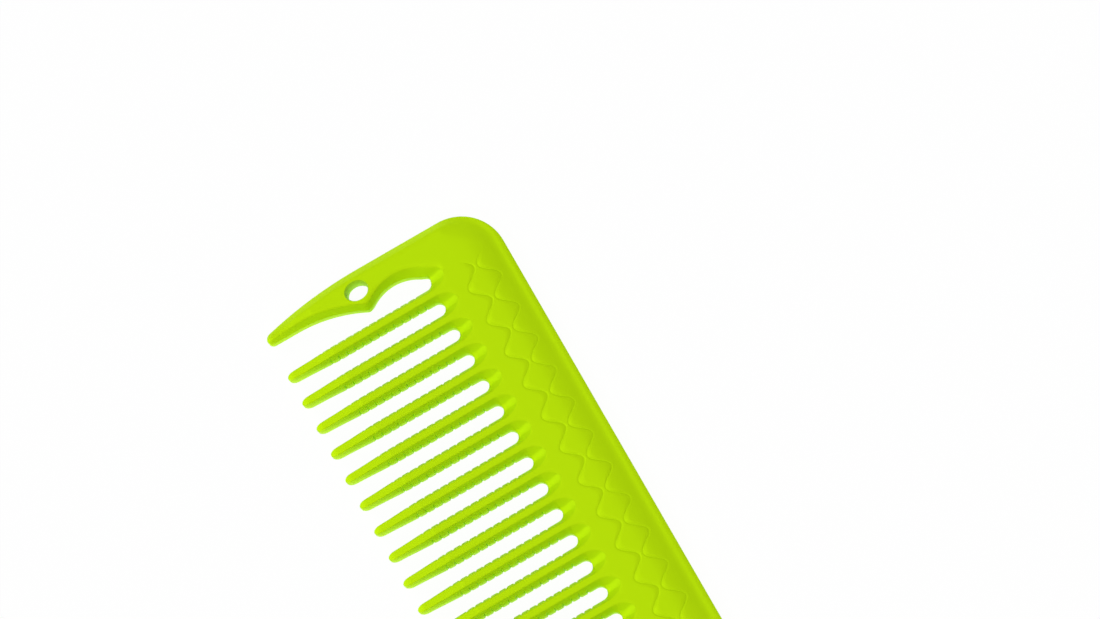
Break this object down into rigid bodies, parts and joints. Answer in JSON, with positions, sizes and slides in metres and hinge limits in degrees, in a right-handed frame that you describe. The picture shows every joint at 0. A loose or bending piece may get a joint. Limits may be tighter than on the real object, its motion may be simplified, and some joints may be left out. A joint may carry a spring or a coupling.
{
  "type": "grooming comb",
  "caption": "Flat moulded grooming comb with coarse teeth on one half and fine teeth on the other, a hook-shaped end tooth with a hanging hole, a plain guard tooth and a thin rounded spine.",
  "frame": {"origin": "centre of the comb's bounding box on its underside, where it lies on a flat surface", "axes": "+X along the comb from the coarse end to the fine end, +Y across it towards the spine, +Z out of its front face"},
  "size_m": [0.1906, 0.025, 0.0027],
  "materials": {
    "lime_plastic": "satin as-moulded lime green"
  },
  "bodies": {
    "root": {"spine": "lime_plastic", "web": "lime_plastic", "hook_tooth": "lime_plastic", "coarse_root_strip": "lime_plastic", "guard_tooth": "lime_plastic", "coarse_tooth_01": "lime_plastic", "coarse_tooth_02": "lime_plastic", "coarse_tooth_03": "lime_plastic", "coarse_tooth_04": "lime_plastic", "coarse_tooth_05": "lime_plastic", "coarse_tooth_06": "lime_plastic", "coarse_tooth_07": "lime_plastic", "coarse_tooth_08": "lime_plastic", "coarse_tooth_09": "lime_plastic", "coarse_tooth_10": "lime_plastic", "coarse_tooth_11": "lime_plastic", "coarse_tooth_12": "lime_plastic", "coarse_tooth_13": "lime_plastic", "coarse_tooth_14": "lime_plastic", "coarse_tooth_15": "lime_plastic", "coarse_tooth_16": "lime_plastic", "coarse_tooth_17": "lime_plastic", "coarse_tooth_18": "lime_plastic", "coarse_tooth_19": "lime_plastic", "coarse_tooth_20": "lime_plastic", "coarse_tooth_21": "lime_plastic", "coarse_tooth_22": "lime_plastic", "coarse_tooth_23": "lime_plastic", "coarse_tooth_24": "lime_plastic", "coarse_tooth_25": "lime_plastic", "coarse_tooth_26": "lime_plastic", "coarse_tooth_27": "lime_plastic", "coarse_tooth_28": "lime_plastic", "coarse_tooth_29": "lime_plastic", "coarse_tooth_30": "lime_plastic", "coarse_tooth_31": "lime_plastic", "fine_teeth_01": "lime_plastic", "fine_teeth_02": "lime_plastic", "fine_teeth_03": "lime_plastic", "fine_teeth_04": "lime_plastic", "fine_teeth_05": "lime_plastic", "fine_teeth_06": "lime_plastic", "fine_teeth_07": "lime_plastic", "fine_teeth_08": "lime_plastic", "fine_teeth_09": "lime_plastic", "fine_teeth_10": "lime_plastic", "fine_teeth_11": "lime_plastic"}
  },
  "joints": []
}
